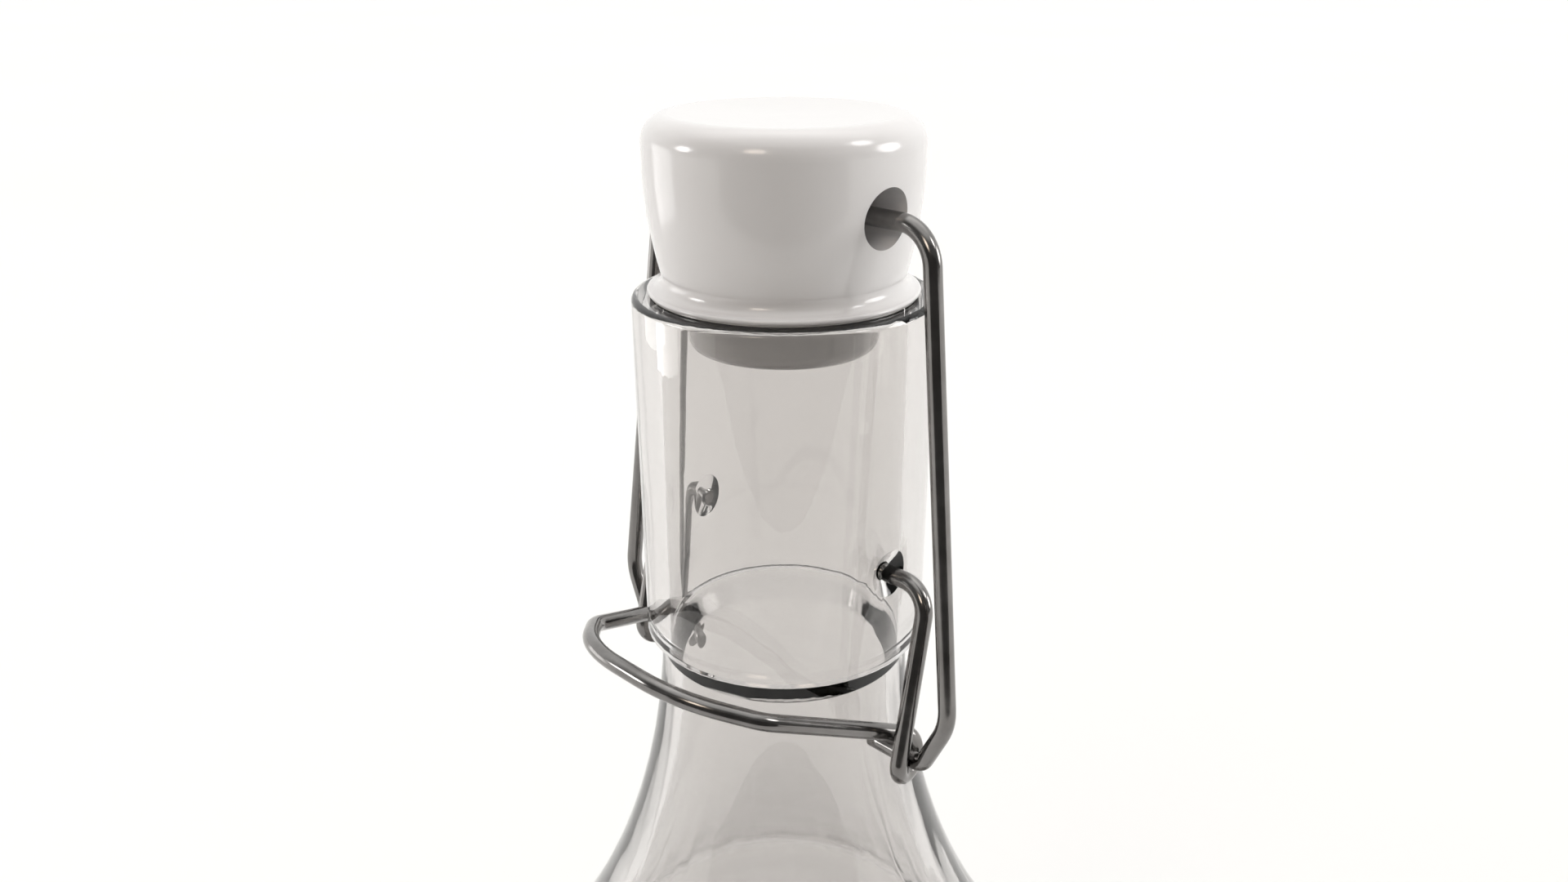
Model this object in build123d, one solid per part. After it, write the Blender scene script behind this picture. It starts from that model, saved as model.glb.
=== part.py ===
from build123d import *
import os
from math import asin, atan2, cos, hypot, pi, radians, sin, tan

# A one litre glass bottle with a wire swing-top closure.
# Millimetres. Origin at the centre of the base, +Z up, the hinges along X, the lever's handle
# towards -Y. The closure is modelled shut: the stopper is down and the handle lies forward.

# ---------------------------------------------------------------- driving dimensions
# glass bottle
lip_height = 290.0          # base to the top of the glass
body_radius = 43.0
body_wall = 3.25            # at the shoulder and below it
neck_radius = 13.4
neck_wall = 2.1             # just below the collar
bore_radius = 12.6          # inside the collar
bore_end = 37.6             # below the lip, where the bore starts to narrow
bore_narrowed = 40.75       # below the lip, where it has narrowed to the neck's inside
collar_radius_top = 15.36
collar_radius_low = 15.07   # the collar narrows a little downwards, as moulded glass does
collar_length = 37.35
collar_foot_round = 0.3
lip_round = 0.6             # outer edge of the lip
mouth_round = 0.5           # inner edge of the lip
flare_start = 35.85         # below the lip, hidden behind the collar's foot
flare_radius = 87.0         # concave sweep from neck to shoulder
flare_turn = 40.0           # degrees the concave sweep turns through
heel_radius = 9.0
inner_heel_radius = 7.5
foot_ring_inner_radius = 30.0   # the bottle stands on the flat ring from here to the heel
push_up = 5.0               # height of the dished base at the axis
base_thickness = 5.0

# stopper
flange_radius = 13.75
flange_edge = 0.5
flange_fillet = 1.5
stopper_radius = 13.85
stopper_height = 17.4       # above the flange's underside
stopper_edge_round = 2.6
stopper_belly_radius = 45.0
stopper_straight = 13.5     # height where the side is upright
dish_depth = 0.35           # shallow dish in the stopper's top
hole_height = 9.0           # cross-hole above the flange's underside
hole_mouth_radius = 2.95
hole_throat_length = 8.0
spigot_radius = 5.0
spigot_button_radius = 6.2
spigot_button_height = 1.6
spigot_lead = 0.8           # how far the button stands below the gasket

# gasket
gasket_gap = 0.1            # free height under the gasket when shut
rim_thickness = 0.15        # the thin rim between the flange and the lip
rim_radius = 13.5
seal_radius = 12.95         # where the rim turns down into the mouth
seal_cone_height = 1.5
plug_radius_top = 10.15
plug_radius_low = 9.7
plug_depth = 5.6            # below the flange
plug_round = 1.6

# wires
wire_radius = 0.9
hinge_clearance = 0.1       # radial, between a wire and the hole it turns in
pivot_drop = 26.7           # dimples in the collar, below the flange's underside
dimple_mouth_radius = 2.5
dimple_flare_depth = 0.9
dimple_depth = 1.9          # from the collar's surface at its foot
eyelet_drop = 45.2          # eyelets, below the flange's underside
eyelet_forward = 1.9
eyelet_radius = 1.98        # to the middle of the wire

# stopper bail
bail_spread = 0.124         # how far each leg moves out for each millimetre down
bail_half_width = 19.75     # middle of a leg at the height of the flange's underside
bail_knee_drop = 39.4       # where a leg turns inwards
bail_toe_x = 21.8           # where it turns along the eyelet
bail_stub_end_x = 14.9
bail_shoulder_bend = 4.0
bail_knee_bend = 6.0
bail_toe_bend = 1.4

# locking lever
pin_end_gap = 0.15          # between the wire's end and the floor of the dimple
arm_x = 20.1                # drop arm at the pivot
eyelet_x = 20.6             # drop arm where it enters the eyelet
eyelet_pitch = 1.95         # how far the eyelet's coil moves inwards
eyelet_steps = 6
eyelet_bend_share = 0.97    # of the coil's radius, so that each bend fits its corner
pivot_bend = 3.0
handle_rise = 0.39          # the handle rises this much for each millimetre forward
handle_side = (13.45, -16.0)
handle_side_bend = 5.0
handle_front = (7.0, -21.75)
handle_front_bend = 13.0

cut_margin = 1.0            # how far a cutter reaches past the surface it cuts

# ---------------------------------------------------------------- derived places
seat = lip_height + gasket_gap + rim_thickness   # underside of the stopper's flange
pivot_z = seat - pivot_drop
eyelet_y = -eyelet_forward
eyelet_z = seat - eyelet_drop
hole_z = seat + hole_height
wire_hole_radius = wire_radius + hinge_clearance
dimple_floor_x = collar_radius_low - dimple_depth


# ---------------------------------------------------------------- drawing helpers
def turned(edges):
    """A solid of revolution about Z from a closed outline drawn as (radius, height).

    The seam of the turned faces is put at the back, away from the holes along X.
    """
    return Rot(0, 0, 90) * revolve(Plane.XZ * make_face(edges), axis=Axis.Z)


def both_sides(piece):
    """A piece on the +X side, and the same turned round to the -X side."""
    return piece + Rot(0, 0, 180) * piece


def bent_wire(points, radii):
    """Round wire along straight runs joined by arcs."""
    path = FilletPolyline(*points, radius=radii)
    section = Plane(origin=path @ 0, z_dir=path % 0) * Circle(wire_radius)
    return sweep(section, path=path)


def mirrored(half):
    """A route that is the same on both sides of X = 0, from its +X half."""
    return half + [(-x, y, z) for x, y, z in half[::-1]]


def dished(edge_radius, edge_z, centre_z):
    """Arc of a spherical dish or dome, from its edge to its centre on the Z axis."""
    rise = centre_z - edge_z
    ball_radius = (edge_radius**2 + rise**2) / (2 * abs(rise))
    half_angle = asin(edge_radius / ball_radius) / 2
    middle_drop = ball_radius * (1 - cos(half_angle))
    middle_z = centre_z - middle_drop if rise > 0 else centre_z + middle_drop
    middle = (ball_radius * sin(half_angle), middle_z)
    return ThreePointArc((edge_radius, edge_z), middle, (0, centre_z))


# ---------------------------------------------------------------- glass bottle
def collar_outline():
    """Outside of the glass from the top of the lip down to the collar's foot."""
    lip_flat_end = (collar_radius_top - lip_round, lip_height)
    collar_top = (collar_radius_top, lip_height - lip_round)
    foot_z = lip_height - collar_length
    collar_low = (collar_radius_low, foot_z + collar_foot_round)
    foot = (collar_radius_low - collar_foot_round, foot_z)
    foot_slope = asin((collar_length - flare_start) / flare_radius)
    neck_at_foot = (neck_radius + flare_radius * (1 - cos(foot_slope)), foot_z)
    edges = [
        Line((bore_radius + mouth_round, lip_height), lip_flat_end),
        TangentArc(lip_flat_end, collar_top, tangent=(1, 0)),
        Line(collar_top, collar_low),
        TangentArc(collar_low, foot, tangent=(0, -1)),
        Line(foot, neck_at_foot),
    ]
    return edges, neck_at_foot, foot_slope


def glass_outline():
    """Closed outline of the glass: down the outside, under the base and up the inside."""
    turn = radians(flare_turn)
    flare_z = lip_height - flare_start
    # concave sweep, then a convex shoulder tangent to it and to the body
    sweep_end = (neck_radius + flare_radius * (1 - cos(turn)), flare_z - flare_radius * sin(turn))
    shoulder_radius = (body_radius - sweep_end[0]) / (1 - cos(turn))
    body_top = sweep_end[1] - shoulder_radius * sin(turn)
    ring_outer = (body_radius - heel_radius, 0)
    ring_inner = (foot_ring_inner_radius, 0)

    outside, neck_at_foot, foot_slope = collar_outline()
    outside += [
        TangentArc(neck_at_foot, sweep_end, tangent=(sin(foot_slope), -cos(foot_slope))),
        TangentArc(sweep_end, (body_radius, body_top), tangent=(sin(turn), -cos(turn))),
        Line((body_radius, body_top), (body_radius, heel_radius)),
        TangentArc((body_radius, heel_radius), ring_outer, tangent=(0, -1)),
        Line(ring_outer, ring_inner),
        dished(foot_ring_inner_radius, 0, push_up),
    ]

    inner_radius = body_radius - body_wall
    heel_top = (inner_radius, base_thickness + inner_heel_radius)
    floor_edge = (inner_radius - inner_heel_radius, base_thickness)
    inner_shoulder_top = (sweep_end[0] - body_wall * cos(turn), sweep_end[1] - body_wall * sin(turn))
    # the neck's inside sweeps out to the shoulder; near its top it widens to the bore in an S
    neck_inside = neck_radius - neck_wall
    inner_sweep = (inner_shoulder_top[0] - neck_inside) / (1 - cos(turn))
    sweep_top = inner_shoulder_top[1] + inner_sweep * sin(turn)
    narrowed_z = lip_height - bore_narrowed
    slope = asin((sweep_top - narrowed_z) / inner_sweep)
    narrowed = (neck_inside + inner_sweep * (1 - cos(slope)), narrowed_z)
    bore_low = (bore_radius, lip_height - bore_end)
    third = (bore_low[1] - narrowed_z) / 3
    above_narrowed = (narrowed[0] - third * tan(slope), narrowed_z + third)
    below_bore = (bore_radius, bore_low[1] - third)
    mouth_low = (bore_radius, lip_height - mouth_round)
    inside = [
        Line((0, push_up), (0, push_up + base_thickness)),
        dished(floor_edge[0], base_thickness, push_up + base_thickness),
        TangentArc(heel_top, floor_edge, tangent=(0, -1)),
        Line(heel_top, (inner_radius, body_top)),
        TangentArc((inner_radius, body_top), inner_shoulder_top, tangent=(0, 1)),
        TangentArc(narrowed, inner_shoulder_top, tangent=(sin(slope), -cos(slope))),
        Bezier(narrowed, above_narrowed, below_bore, bore_low),
        Line(bore_low, mouth_low),
        TangentArc(mouth_low, (bore_radius + mouth_round, lip_height), tangent=(0, 1)),
    ]
    return outside + inside


def dimple():
    """Blind pivot socket in the collar's +X side: a flared mouth and a round hole for the wire."""
    surface = collar_radius_low + cut_margin
    flare_floor = collar_radius_low - dimple_flare_depth
    outline = make_face([
        Line((dimple_floor_x, 0), (surface, 0)),
        Line((surface, 0), (surface, dimple_mouth_radius)),
        Line((surface, dimple_mouth_radius), (collar_radius_low, dimple_mouth_radius)),
        Line((collar_radius_low, dimple_mouth_radius), (flare_floor, wire_hole_radius)),
        Line((flare_floor, wire_hole_radius), (dimple_floor_x, wire_hole_radius)),
        Line((dimple_floor_x, wire_hole_radius), (dimple_floor_x, 0)),
    ])
    return Pos(0, 0, pivot_z) * revolve(outline, axis=Axis.X)


def glass_bottle():
    return turned(glass_outline()) - both_sides(dimple())


# ---------------------------------------------------------------- stopper
def cross_hole():
    """The hole the wire bail runs through: a close throat that opens towards both sides."""
    half_throat = hole_throat_length / 2
    outside = stopper_radius + cut_margin
    outline = make_face([
        Line((0, 0), (outside, 0)),
        Line((outside, 0), (outside, hole_mouth_radius)),
        Line((outside, hole_mouth_radius), (half_throat + hole_mouth_radius, hole_mouth_radius)),
        Line((half_throat + hole_mouth_radius, hole_mouth_radius), (half_throat, wire_hole_radius)),
        Line((half_throat, wire_hole_radius), (0, wire_hole_radius)),
        Line((0, wire_hole_radius), (0, 0)),
    ])
    return Pos(0, 0, hole_z) * both_sides(revolve(outline, axis=Axis.X))


def stopper():
    top = seat + stopper_height
    dish_edge = (stopper_radius - stopper_edge_round, top)
    edge_low = (stopper_radius, top - stopper_edge_round)
    upright = (stopper_radius, seat + stopper_straight)
    waist_z = seat + flange_edge + flange_fillet
    belly_slope = asin((upright[1] - waist_z) / stopper_belly_radius)
    waist = (stopper_radius - stopper_belly_radius * (1 - cos(belly_slope)), waist_z)
    flange_rim = flange_radius - flange_edge / 2
    flange_top = (flange_rim, seat + flange_edge)
    spigot_end = seat - plug_depth - spigot_lead
    button_top = spigot_end + spigot_button_height
    outline = [
        dished(dish_edge[0], top, top - dish_depth),
        TangentArc(dish_edge, edge_low, tangent=(1, 0)),
        Line(edge_low, upright),
        TangentArc(upright, waist, tangent=(0, -1)),
        TangentArc(waist, flange_top, tangent=(-sin(belly_slope), -cos(belly_slope))),
        ThreePointArc(flange_top, (flange_radius, seat + flange_edge / 2), (flange_rim, seat)),
        Line((flange_rim, seat), (spigot_radius, seat)),
        Line((spigot_radius, seat), (spigot_radius, button_top)),
        Line((spigot_radius, button_top), (spigot_button_radius, button_top)),
        Line((spigot_button_radius, button_top), (spigot_radius, spigot_end)),
        Line((spigot_radius, spigot_end), (0, spigot_end)),
        Line((0, spigot_end), (0, top - dish_depth)),
    ]
    return turned(outline) - cross_hole()


# ---------------------------------------------------------------- gasket
def gasket():
    """Rubber ring on the stopper's spigot: a rim on the lip, a cone in the mouth, a plug below."""
    rim_low = seat - rim_thickness
    end = seat - plug_depth
    button_top = end - spigot_lead + spigot_button_height
    plug_top = (plug_radius_top, rim_low - seal_cone_height)
    plug_low = (plug_radius_low, end + plug_round)
    outline = [
        Line((spigot_radius, seat), (rim_radius, seat)),
        Line((rim_radius, seat), (rim_radius, rim_low)),
        Line((rim_radius, rim_low), (seal_radius, rim_low)),
        Line((seal_radius, rim_low), plug_top),
        Line(plug_top, plug_low),
        TangentArc(plug_low, (plug_radius_low - plug_round, end), tangent=(0, -1)),
        Line((plug_radius_low - plug_round, end), (spigot_button_radius, end)),
        Line((spigot_button_radius, end), (spigot_button_radius, button_top)),
        Line((spigot_button_radius, button_top), (spigot_radius, button_top)),
        Line((spigot_radius, button_top), (spigot_radius, seat)),
    ]
    return turned(outline)


# ---------------------------------------------------------------- stopper bail
def stopper_bail():
    """Wire through the stopper's cross-hole, with a leg down each side to the lever's eyelets."""
    def leg(drop):
        forward = eyelet_y * (drop + hole_height) / (eyelet_drop + hole_height)
        return (bail_half_width + bail_spread * drop, forward, seat - drop)

    half = [
        (bail_stub_end_x, eyelet_y, eyelet_z),
        (bail_toe_x, eyelet_y, eyelet_z),
        leg(bail_knee_drop),
        leg(-hole_height),
    ]
    bends = [bail_toe_bend, bail_knee_bend, bail_shoulder_bend]
    return bent_wire(mirrored(half), bends + bends[::-1])


# ---------------------------------------------------------------- locking lever
def eyelet_corners():
    """Corners of the coil round the bail's stub, and where the handle leaves it."""
    to_eyelet = atan2(eyelet_z - pivot_z, eyelet_y)
    reach = hypot(eyelet_y, eyelet_z - pivot_z)
    start = to_eyelet - asin(eyelet_radius / reach) - pi / 2 + 2 * pi
    leave = atan2(1, handle_rise) + 2 * pi
    step = (leave - start) / eyelet_steps
    corner_radius = eyelet_radius / cos(step / 2)
    corners = []
    for i in range(eyelet_steps):
        angle = start + (i + 0.5) * step
        corners.append((
            eyelet_x - eyelet_pitch * (i + 0.5) / eyelet_steps,
            eyelet_y + corner_radius * cos(angle),
            eyelet_z + corner_radius * sin(angle),
        ))
    leaving_y = eyelet_y + eyelet_radius * cos(leave)
    leaving_z = eyelet_z + eyelet_radius * sin(leave)
    return corners, leaving_y, leaving_z


def locking_lever():
    """One wire: pivot pin, drop arm and eyelet on each side, joined by the finger handle."""
    corners, leaving_y, leaving_z = eyelet_corners()

    def on_handle(place):
        return (place[0], place[1], leaving_z + handle_rise * (leaving_y - place[1]))

    half = [(dimple_floor_x + pin_end_gap, 0, pivot_z), (arm_x, 0, pivot_z)]
    half += corners
    half += [on_handle(handle_side), on_handle(handle_front)]
    eyelet_bends = [eyelet_radius * eyelet_bend_share] * eyelet_steps
    bends = [pivot_bend] + eyelet_bends + [handle_side_bend, handle_front_bend]
    return bent_wire(mirrored(half), bends + bends[::-1])


# ---------------------------------------------------------------- write the pieces
pieces = {
    "glass_bottle": glass_bottle,
    "stopper": stopper,
    "gasket": gasket,
    "stopper_bail": stopper_bail,
    "locking_lever": locking_lever,
}
os.makedirs("parts", exist_ok=True)
for name, build in pieces.items():
    export_step(build(), f"parts/{name}.step")
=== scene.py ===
from collections import namedtuple
from math import asin, atan2, ceil, cos, hypot, pi, radians, sin, tan

import bpy
from mathutils import Matrix, Vector


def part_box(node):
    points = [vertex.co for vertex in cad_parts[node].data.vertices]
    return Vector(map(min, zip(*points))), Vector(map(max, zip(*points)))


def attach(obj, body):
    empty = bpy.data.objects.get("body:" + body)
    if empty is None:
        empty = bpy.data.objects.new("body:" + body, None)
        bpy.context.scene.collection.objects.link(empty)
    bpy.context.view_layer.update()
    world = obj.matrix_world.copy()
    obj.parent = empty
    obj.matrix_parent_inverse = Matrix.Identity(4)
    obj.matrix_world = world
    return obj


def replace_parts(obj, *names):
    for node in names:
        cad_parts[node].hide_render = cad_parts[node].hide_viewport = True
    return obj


# Looks for the swing top bottle: glass, glaze, rubber and steel on the CAD parts, with the two
# wires rebuilt as smooth drawn wire, on a pale floor in a soft studio.

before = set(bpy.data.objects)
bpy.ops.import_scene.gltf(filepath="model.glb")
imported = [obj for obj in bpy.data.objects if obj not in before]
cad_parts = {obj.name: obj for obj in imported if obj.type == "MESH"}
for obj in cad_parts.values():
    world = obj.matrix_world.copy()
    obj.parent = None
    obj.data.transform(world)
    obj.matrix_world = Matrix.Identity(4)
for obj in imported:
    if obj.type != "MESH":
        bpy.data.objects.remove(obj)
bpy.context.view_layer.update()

# ------------------------------------------------------------------ places, in metres
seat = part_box("gasket")[1].z                # underside of the stopper's flange
floor_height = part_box("glass_bottle")[0].z

# ------------------------------------------------------------------ camera
CAMERA_AZIMUTH = radians(45.33)             # from -Y towards +X
CAMERA_PITCH = radians(21.48)
CAMERA_DISTANCE = 0.128                     # level distance from the bottle's axis
CAMERA_OVER_SEAT = 0.0338
LENS = 29.95
SENSOR = 36.0
CLIP_START = 0.005
CLIP_END = 100.0


def add_camera():
    data = bpy.data.cameras.new("camera")
    data.lens = LENS
    data.sensor_width = SENSOR
    data.clip_start = CLIP_START
    data.clip_end = CLIP_END
    camera = bpy.data.objects.new("camera", data)
    bpy.context.scene.collection.objects.link(camera)
    camera.location = (
        CAMERA_DISTANCE * sin(CAMERA_AZIMUTH),
        -CAMERA_DISTANCE * cos(CAMERA_AZIMUTH),
        seat + CAMERA_OVER_SEAT,
    )
    camera.rotation_euler = (pi / 2 - CAMERA_PITCH, 0, CAMERA_AZIMUTH)
    bpy.context.scene.camera = camera


# ------------------------------------------------------------------ studio light
# Soft lights in the room: degrees to the right of the camera's side, degrees up, degrees from the
# middle with full light and with none, strength, colour. The first is the pale backdrop and the
# second the light overhead.
PALE_LIGHT = (1.0, 0.995, 0.985)
LAMP_LIGHT = (1.0, 0.99, 0.98)
WARM_LIGHT = (1.0, 0.86, 0.72)
SOFT_LIGHTS = (
    (180, 5, 60, 100, 0.90, PALE_LIGHT),
    (0, 90, 20, 50, 1.05, PALE_LIGHT),
    (92, 14, 8, 15, 7.0, LAMP_LIGHT),
    (78, 42, 4, 11, 8.0, LAMP_LIGHT),
    (-86, 12, 5, 10, 10.0, LAMP_LIGHT),
    (-24, 31, 4, 11, 6.0, WARM_LIGHT),
)
ROOM_COLOUR = (0.20, 0.197, 0.192)
LIGHT_STRENGTH = 0.93


def direction(azimuth, elevation):
    """A direction, from degrees to the right of the camera's side and degrees up."""
    turn = CAMERA_AZIMUTH + radians(azimuth)
    level = cos(radians(elevation))
    return Vector((sin(turn) * level, -cos(turn) * level, sin(radians(elevation))))


def add_world():
    """A dim room with soft lights in it."""
    world = bpy.data.worlds.new("studio")
    bpy.context.scene.world = world
    world.use_nodes = True
    nodes, links = world.node_tree.nodes, world.node_tree.links
    place = nodes.new("ShaderNodeTexCoord").outputs["Generated"]
    total = None
    for azimuth, elevation, inner, outer, strength, colour in SOFT_LIGHTS:
        towards = nodes.new("ShaderNodeVectorMath")
        towards.operation = "DOT_PRODUCT"
        towards.inputs[1].default_value = direction(azimuth, elevation)
        links.new(place, towards.inputs[0])
        lit = nodes.new("ShaderNodeMapRange")
        lit.interpolation_type = "SMOOTHSTEP"
        lit.inputs["From Min"].default_value = cos(radians(outer))
        lit.inputs["From Max"].default_value = cos(radians(inner))
        lit.inputs["To Max"].default_value = strength
        links.new(towards.outputs["Value"], lit.inputs["Value"])
        tinted = nodes.new("ShaderNodeVectorMath")
        tinted.operation = "MULTIPLY_ADD"
        tinted.inputs[1].default_value = colour
        links.new(lit.outputs["Result"], tinted.inputs[0])
        if total is None:
            tinted.inputs[2].default_value = ROOM_COLOUR
        else:
            links.new(total, tinted.inputs[2])
        total = tinted.outputs["Vector"]
    links.new(total, nodes["Background"].inputs["Color"])
    nodes["Background"].inputs["Strength"].default_value = LIGHT_STRENGTH


# ------------------------------------------------------------------ material helpers
NOISE_LOW = 0.3                             # nearly all of a noise lies between these
NOISE_HIGH = 0.7


def new_material(name):
    material = bpy.data.materials.new(name)
    material.use_nodes = True
    nodes = material.node_tree.nodes
    return material, nodes, material.node_tree.links, nodes["Principled BSDF"]


def object_place(nodes):
    return nodes.new("ShaderNodeTexCoord").outputs["Object"]


def noise(nodes, links, place, scale, detail, roughness=0.5):
    made = nodes.new("ShaderNodeTexNoise")
    made.inputs["Scale"].default_value = scale
    made.inputs["Detail"].default_value = detail
    made.inputs["Roughness"].default_value = roughness
    links.new(place, made.inputs["Vector"])
    return made.outputs["Fac"]


def between(nodes, links, value, low, high):
    """Spreads a noise over low to high."""
    made = nodes.new("ShaderNodeMapRange")
    made.inputs["From Min"].default_value = NOISE_LOW
    made.inputs["From Max"].default_value = NOISE_HIGH
    made.inputs["To Min"].default_value = low
    made.inputs["To Max"].default_value = high
    links.new(value, made.inputs["Value"])
    return made.outputs["Result"]


def bump(nodes, links, height, distance, strength, after=None):
    """A bump of this many metres, on top of an earlier one if there is one."""
    made = nodes.new("ShaderNodeBump")
    made.inputs["Strength"].default_value = strength
    made.inputs["Distance"].default_value = distance
    links.new(height, made.inputs["Height"])
    if after is not None:
        links.new(after, made.inputs["Normal"])
    return made.outputs["Normal"]


def colour_between(nodes, links, value, first, second):
    made = nodes.new("ShaderNodeMix")
    made.data_type = "RGBA"
    made.inputs["A"].default_value = (*first, 1)
    made.inputs["B"].default_value = (*second, 1)
    links.new(value, made.inputs["Factor"])
    return made.outputs["Result"]


# ------------------------------------------------------------------ materials
# a flat colour, or the darkest and the palest of a mottled one
GLASS_COLOUR = (0.765, 0.75, 0.74)
GLASS_IOR = 1.5
GLAZE_COLOURS = (0.79, 0.772, 0.768), (0.82, 0.804, 0.80)
RUBBER_COLOURS = (0.50, 0.485, 0.47), (0.57, 0.555, 0.54)
STEEL_COLOURS = (0.19, 0.183, 0.177), (0.26, 0.253, 0.247)
STEEL_LINES = (60.0, 2500.0, 1.0)           # noise steps in a metre, along and round the wire


def clear_glass():
    """Glass with slow waves and a very fine ripple."""
    material, nodes, links, shader = new_material("bottle_glass")
    place = object_place(nodes)
    shader.inputs["Base Color"].default_value = (*GLASS_COLOUR, 1)
    shader.inputs["Transmission Weight"].default_value = 1.0
    shader.inputs["IOR"].default_value = GLASS_IOR
    waves = noise(nodes, links, place, scale=45.0, detail=2.0)
    ripple = noise(nodes, links, place, scale=900.0, detail=2.0)
    links.new(between(nodes, links, waves, 0.0, 0.02), shader.inputs["Roughness"])
    wavy = bump(nodes, links, waves, distance=0.0002, strength=0.5)
    rippled = bump(nodes, links, ripple, distance=0.00001, strength=0.15, after=wavy)
    links.new(rippled, shader.inputs["Normal"])
    return material


def white_glaze():
    """White glaze with a soft unevenness under a thin shine."""
    material, nodes, links, shader = new_material("stopper_glaze")
    cloud = noise(nodes, links, object_place(nodes), scale=60.0, detail=3.0)
    tint = between(nodes, links, cloud, 0.0, 1.0)
    links.new(colour_between(nodes, links, tint, *GLAZE_COLOURS), shader.inputs["Base Color"])
    links.new(between(nodes, links, cloud, 0.16, 0.2), shader.inputs["Roughness"])
    shader.inputs["Coat Weight"].default_value = 0.5
    shader.inputs["Coat Roughness"].default_value = 0.06
    links.new(bump(nodes, links, cloud, distance=0.0001, strength=0.2), shader.inputs["Normal"])
    return material


def grey_rubber():
    """Smooth grey rubber with a slight mottle."""
    material, nodes, links, shader = new_material("gasket_rubber")
    cloud = noise(nodes, links, object_place(nodes), scale=200.0, detail=3.0)
    tint = between(nodes, links, cloud, 0.0, 1.0)
    links.new(colour_between(nodes, links, tint, *RUBBER_COLOURS), shader.inputs["Base Color"])
    links.new(between(nodes, links, cloud, 0.13, 0.2), shader.inputs["Roughness"])
    shader.inputs["Coat Weight"].default_value = 0.8
    shader.inputs["Coat Roughness"].default_value = 0.08
    links.new(bump(nodes, links, cloud, distance=0.00003, strength=0.4), shader.inputs["Normal"])
    return material


def drawn_steel():
    """Steel wire with fine lines along its length and soft wear; the UV map runs along the wire."""
    material, nodes, links, shader = new_material("drawn_steel")
    along = nodes.new("ShaderNodeUVMap").outputs["UV"]
    stretch = nodes.new("ShaderNodeMapping")
    stretch.inputs["Scale"].default_value = STEEL_LINES
    links.new(along, stretch.inputs["Vector"])
    lines = noise(nodes, links, stretch.outputs["Vector"], scale=1.0, detail=3.0)
    cloud = noise(nodes, links, object_place(nodes), scale=300.0, detail=4.0, roughness=0.6)
    tint = between(nodes, links, cloud, 0.0, 1.0)
    links.new(colour_between(nodes, links, tint, *STEEL_COLOURS), shader.inputs["Base Color"])
    shader.inputs["Metallic"].default_value = 1.0
    links.new(between(nodes, links, cloud, 0.12, 0.22), shader.inputs["Roughness"])
    worn = bump(nodes, links, cloud, distance=0.00003, strength=0.4)
    lined = bump(nodes, links, lines, distance=0.000006, strength=0.6, after=worn)
    links.new(lined, shader.inputs["Normal"])
    return material


def dress(name, material):
    """Puts a material on a CAD node."""
    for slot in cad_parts[name].material_slots:
        slot.material = material


# ------------------------------------------------------------------ how a wire is made
WIRE_RADIUS = 0.0009
WIRE_SIDES = 20
BEND_STEP = radians(6)
STRAIGHT_STEP = 0.002
END_ROUND = 0.0002
LEAST_TURN = 1e-4                           # radians; a corner that turns less is left out

Ring = namedtuple("Ring", "centre along side radius length")


def arc_round(before, corner, after, bend):
    """Points on the arc that rounds a corner off, or none where the route runs straight on."""
    back = (before - corner).normalized()
    on = (after - corner).normalized()
    turn = pi - back.angle(on)
    if turn < LEAST_TURN:
        return []
    start = corner + back * bend * tan(turn / 2)
    centre = corner + (back + on).normalized() * (bend / cos(turn / 2))
    axis = back.cross(on).normalized()
    arm = start - centre
    steps = ceil(turn / BEND_STEP)
    return [centre + Matrix.Rotation(-turn * i / steps, 3, axis) @ arm for i in range(steps + 1)]


def rounded_route(corners, bends):
    """Points along straight runs joined by arcs, close together."""
    corners = [Vector(corner) for corner in corners]
    route = [corners[0]]
    for before, corner, after, bend in zip(corners, corners[1:], corners[2:], bends):
        route += arc_round(before, corner, after, bend)
    route.append(corners[-1])
    fine = [route[0]]
    for first, second in zip(route, route[1:]):
        pieces = max(1, ceil((second - first).length / STRAIGHT_STEP))
        fine += [first.lerp(second, i / pieces) for i in range(1, pieces + 1)]
    return fine


def rings_along(route):
    """Rings round the route that do not twist, with slightly rounded ends."""
    nexts = route[1:] + route[-1:]
    previous = route[:1] + route[:-1]
    alongs = [(after - before).normalized() for before, after in zip(previous, nexts)]
    side = alongs[0].orthogonal().normalized()
    length = 0.0
    rings = []
    for i, (centre, along) in enumerate(zip(route, alongs)):
        if i:
            side = alongs[i - 1].rotation_difference(along) @ side
            length += (centre - route[i - 1]).length
        side = (side - along * side.dot(along)).normalized()
        rings.append(Ring(centre, along, side, WIRE_RADIUS, length))
    first = rings[0]
    last = rings[-1]
    rings[0] = first._replace(centre=first.centre + first.along * END_ROUND, length=END_ROUND)
    rings[-1] = last._replace(centre=last.centre - last.along * END_ROUND, length=length - END_ROUND)
    inner = WIRE_RADIUS - END_ROUND
    return [first._replace(radius=inner), *rings, last._replace(radius=inner)]


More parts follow.
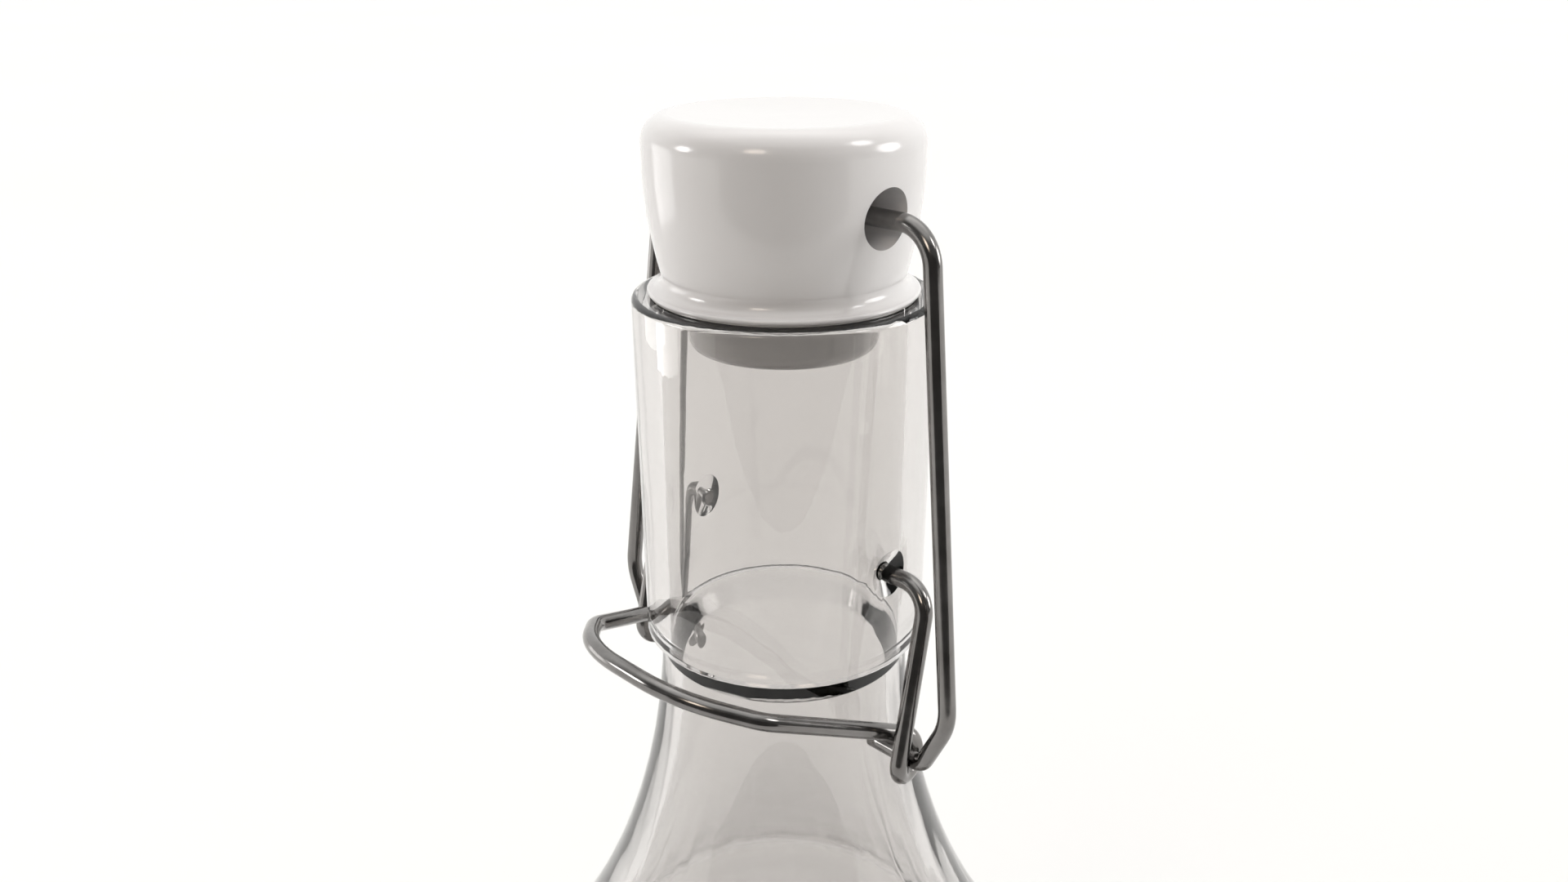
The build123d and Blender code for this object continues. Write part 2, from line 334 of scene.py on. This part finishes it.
def wire_mesh(name, rings):
    """A skin over the rings, with the length along the wire and the way round it as its UV map."""
    turns = [2 * pi * k / WIRE_SIDES for k in range(WIRE_SIDES + 1)]
    vertices = []
    for ring in rings:
        other = ring.along.cross(ring.side)
        for turn in turns[:-1]:
            vertices.append(ring.centre + (ring.side * cos(turn) + other * sin(turn)) * ring.radius)
    faces = []
    spots = []
    for i in range(len(rings) - 1):
        for k in range(WIRE_SIDES):
            corners = [(i, k), (i, k + 1), (i + 1, k + 1), (i + 1, k)]
            faces.append([row * WIRE_SIDES + step % WIRE_SIDES for row, step in corners])
            spots += [(rings[row].length, turns[step] * WIRE_RADIUS) for row, step in corners]
    faces.append(range(WIRE_SIDES - 1, -1, -1))
    faces.append(range(len(vertices) - WIRE_SIDES, len(vertices)))
    spots += [(0.0, 0.0)] * (2 * WIRE_SIDES)
    mesh = bpy.data.meshes.new(name)
    mesh.from_pydata(vertices, [], faces)
    mesh.uv_layers.new(name="UVMap").data.foreach_set("uv", [part for spot in spots for part in spot])
    for polygon in mesh.polygons:
        polygon.use_smooth = len(polygon.vertices) < WIRE_SIDES
    return mesh


def wire(name, corners, bends, body, slot, material):
    """One round wire that moves with a body."""
    mesh = wire_mesh(name, rings_along(rounded_route(corners, bends)))
    mesh.materials.append(material)
    made = bpy.data.objects.new(name, mesh)
    bpy.context.scene.collection.objects.link(made)
    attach(made, body)
    return made


def mirrored(half):
    """A route that is the same on both sides of X = 0, from its +X half."""
    return half + [(-x, y, z) for x, y, z in reversed(half)]


def both_ways(bends):
    return bends + bends[::-1]


# ------------------------------------------------------------------ the wires' shapes, as in the CAD
HOLE_HEIGHT = 0.009                         # the stopper's cross-hole, above the seat
PIVOT_Z = seat - 0.0267
EYELET_Y = -0.0019
EYELET_Z = seat - 0.0452
EYELET_RADIUS = 0.00198                     # to the middle of the wire

BAIL_SPREAD = 0.124                         # how far each leg moves out for each metre down
BAIL_HALF_WIDTH = 0.01975                   # middle of a leg at the seat's height
BAIL_KNEE_DROP = 0.0394                     # where a leg turns inwards
BAIL_TOE_X = 0.0218                         # where it turns along the eyelet
BAIL_STUB_END_X = 0.0149
BAIL_TOE_BEND = 0.0014
BAIL_KNEE_BEND = 0.006
BAIL_SHOULDER_BEND = 0.004

PIN_END_X = 0.01332
ARM_X = 0.0201                              # drop arm at the pivot
PIVOT_BEND = 0.003
EYELET_X = 0.0206                           # drop arm where it enters the eyelet
EYELET_PITCH = 0.00195                      # how far the eyelet's coil moves inwards
EYELET_STEPS = 6
EYELET_BEND_SHARE = 0.97                    # of the coil's radius, so that each bend fits its corner
HANDLE_RISE = 0.39                          # the handle rises this much for each metre forward
HANDLE_SIDE = (0.01345, -0.016)
HANDLE_SIDE_BEND = 0.005
HANDLE_FRONT = (0.007, -0.02175)
HANDLE_FRONT_BEND = 0.013


def bail_route():
    """The wire through the stopper and down both sides to the lever's eyelets."""
    def leg(drop):
        forward = EYELET_Y * (drop + HOLE_HEIGHT) / (seat - EYELET_Z + HOLE_HEIGHT)
        return (BAIL_HALF_WIDTH + BAIL_SPREAD * drop, forward, seat - drop)

    half = [
        (BAIL_STUB_END_X, EYELET_Y, EYELET_Z),
        (BAIL_TOE_X, EYELET_Y, EYELET_Z),
        leg(BAIL_KNEE_DROP),
        leg(-HOLE_HEIGHT),
    ]
    return mirrored(half), both_ways([BAIL_TOE_BEND, BAIL_KNEE_BEND, BAIL_SHOULDER_BEND])


def eyelet_corners():
    """Corners of the coil round the bail's stub, and where the handle leaves it."""
    to_eyelet = atan2(EYELET_Z - PIVOT_Z, EYELET_Y)
    reach = hypot(EYELET_Y, EYELET_Z - PIVOT_Z)
    start = to_eyelet - asin(EYELET_RADIUS / reach) - pi / 2 + 2 * pi
    leave = atan2(1, HANDLE_RISE) + 2 * pi
    step = (leave - start) / EYELET_STEPS
    corner_radius = EYELET_RADIUS / cos(step / 2)
    corners = []
    for i in range(EYELET_STEPS):
        angle = start + (i + 0.5) * step
        corners.append((
            EYELET_X - EYELET_PITCH * (i + 0.5) / EYELET_STEPS,
            EYELET_Y + corner_radius * cos(angle),
            EYELET_Z + corner_radius * sin(angle),
        ))
    return corners, EYELET_Y + EYELET_RADIUS * cos(leave), EYELET_Z + EYELET_RADIUS * sin(leave)


def lever_route():
    """Pivot pin, drop arm, eyelet and handle, the same on both sides."""
    corners, leaving_y, leaving_z = eyelet_corners()
    half = [(PIN_END_X, 0, PIVOT_Z), (ARM_X, 0, PIVOT_Z)]
    half += corners
    for x, y in (HANDLE_SIDE, HANDLE_FRONT):
        half.append((x, y, leaving_z + HANDLE_RISE * (leaving_y - y)))
    eyelet_bends = [EYELET_RADIUS * EYELET_BEND_SHARE] * EYELET_STEPS
    bends = [PIVOT_BEND] + eyelet_bends + [HANDLE_SIDE_BEND, HANDLE_FRONT_BEND]
    return mirrored(half), both_ways(bends)


# ------------------------------------------------------------------ floor and cards
FLOOR_HALF = 12.0
FLOOR_COLOURS = (0.86, 0.855, 0.845), (0.90, 0.895, 0.885)
# a dark panel standing behind the camera
PANEL_DISTANCE = 0.4                        # from the bottle's axis
PANEL_HALF_WIDTH = 0.5
PANEL_LOW = 0.08
PANEL_HIGH = 0.46
PANEL_COLOURS = (0.05, 0.048, 0.046), (0.08, 0.077, 0.075)
# a white light box to the left of and behind the bottle, standing on the floor
BOX_AZIMUTH = radians(-112)                 # to the right of the camera's side
BOX_DISTANCE = 0.9
BOX_HALF_WIDTH = 0.22
BOX_HIGH = 0.34
BOX_STRENGTH = 1.7


def add_floor():
    mesh = bpy.data.meshes.new("floor")
    h = FLOOR_HALF
    mesh.from_pydata([(-h, -h, 0), (h, -h, 0), (h, h, 0), (-h, h, 0)], [], [(0, 1, 2, 3)])
    floor = bpy.data.objects.new("floor", mesh)
    bpy.context.scene.collection.objects.link(floor)
    floor.location.z = floor_height
    material, nodes, links, shader = new_material("pale_floor")
    tint = noise(nodes, links, object_place(nodes), scale=1.5, detail=2.0)
    links.new(colour_between(nodes, links, tint, *FLOOR_COLOURS), shader.inputs["Base Color"])
    shader.inputs["Roughness"].default_value = 0.7
    mesh.materials.append(material)


def standing_card(name, azimuth, distance, half_width, low, high, material):
    """An upright card that faces the bottle and is hidden from the camera."""
    mesh = bpy.data.meshes.new(name)
    bottom = [(-half_width, -distance, low), (half_width, -distance, low)]
    top = [(half_width, -distance, high), (-half_width, -distance, high)]
    mesh.from_pydata(bottom + top, [], [(0, 1, 2, 3)])
    mesh.materials.append(material)
    card = bpy.data.objects.new(name, mesh)
    bpy.context.scene.collection.objects.link(card)
    card.location.z = floor_height
    card.rotation_euler.z = CAMERA_AZIMUTH + azimuth
    card.visible_camera = False
    return card


def add_dark_panel():
    """Shades the camera's side and shows dark in the wires' reflections, but not through glass."""
    material, nodes, links, shader = new_material("dark_panel")
    weave = noise(nodes, links, object_place(nodes), scale=300.0, detail=2.0)
    links.new(colour_between(nodes, links, weave, *PANEL_COLOURS), shader.inputs["Base Color"])
    shader.inputs["Roughness"].default_value = 0.9
    panel = standing_card(
        "dark_panel", 0.0, PANEL_DISTANCE, PANEL_HALF_WIDTH, PANEL_LOW, PANEL_HIGH, material
    )
    panel.visible_transmission = False


def add_light_box():
    """Brightens the glass's left edge. It shows in reflections and through glass, and casts no light."""
    material, _, _, shader = new_material("light_box")
    shader.inputs["Emission Color"].default_value = (*PALE_LIGHT, 1)
    shader.inputs["Emission Strength"].default_value = BOX_STRENGTH
    box = standing_card("light_box", BOX_AZIMUTH, BOX_DISTANCE, BOX_HALF_WIDTH, 0.0, BOX_HIGH, material)
    box.visible_diffuse = False
    box.visible_shadow = False


# ------------------------------------------------------------------ the scene
add_camera()
add_world()
add_floor()
add_dark_panel()
add_light_box()
dress("glass_bottle", clear_glass())
dress("stopper", white_glaze())
dress("gasket", grey_rubber())
steel = drawn_steel()
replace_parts(wire("bail_wire", *bail_route(), "bail", "bail_steel", steel), "stopper_bail")
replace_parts(wire("lever_wire", *lever_route(), "lever", "lever_steel", steel), "locking_lever")
bpy.context.scene.view_settings.view_transform = "Standard"
